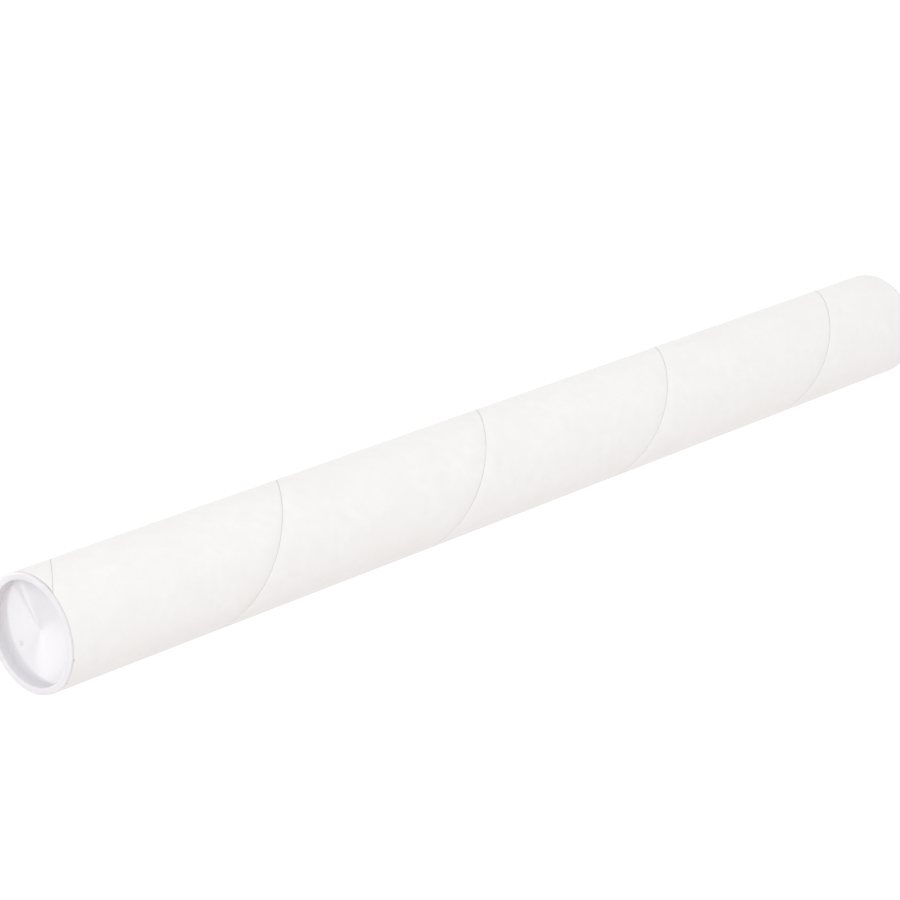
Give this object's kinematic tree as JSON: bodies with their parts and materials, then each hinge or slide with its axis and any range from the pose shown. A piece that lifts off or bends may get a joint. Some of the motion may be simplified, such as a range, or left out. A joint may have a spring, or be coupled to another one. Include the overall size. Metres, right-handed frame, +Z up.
{
  "type": "mailing tube",
  "caption": "Spiral-wound white cardboard mailing tube, closed at each end by a push-in plastic plug with a dished face, for posting rolled papers.",
  "frame": {"origin": "centre of the lower plug's outer face, on the surface the tube stands on", "axes": "+Z runs up the tube's axis; +X is the model's right-hand side seen along +Y, and the outer ply's joint crosses the -Y side at a height of 72.5 mm"},
  "size_m": [0.0558, 0.0558, 0.6116],
  "materials": {
    "paperboard": "smooth uncoated white paper over grey chipboard, with the open helical joint of its outer ply",
    "plug_plastic": "natural white low-density polyethylene, satin, slightly see-through"
  },
  "bodies": {
    "tube": {"tube": "paperboard"},
    "upper_plug": {"upper_plug": "plug_plastic"},
    "lower_plug": {"lower_plug": "plug_plastic"}
  },
  "joints": [
    {"name": "upper_plug_pull", "type": "slide", "parent": "tube", "child": "upper_plug", "axis": [0, 0, 1], "range_m": [0, 0.05]},
    {"name": "lower_plug_pull", "type": "slide", "parent": "tube", "child": "lower_plug", "axis": [0, 0, -1], "range_m": [0, 0.05]}
  ]
}
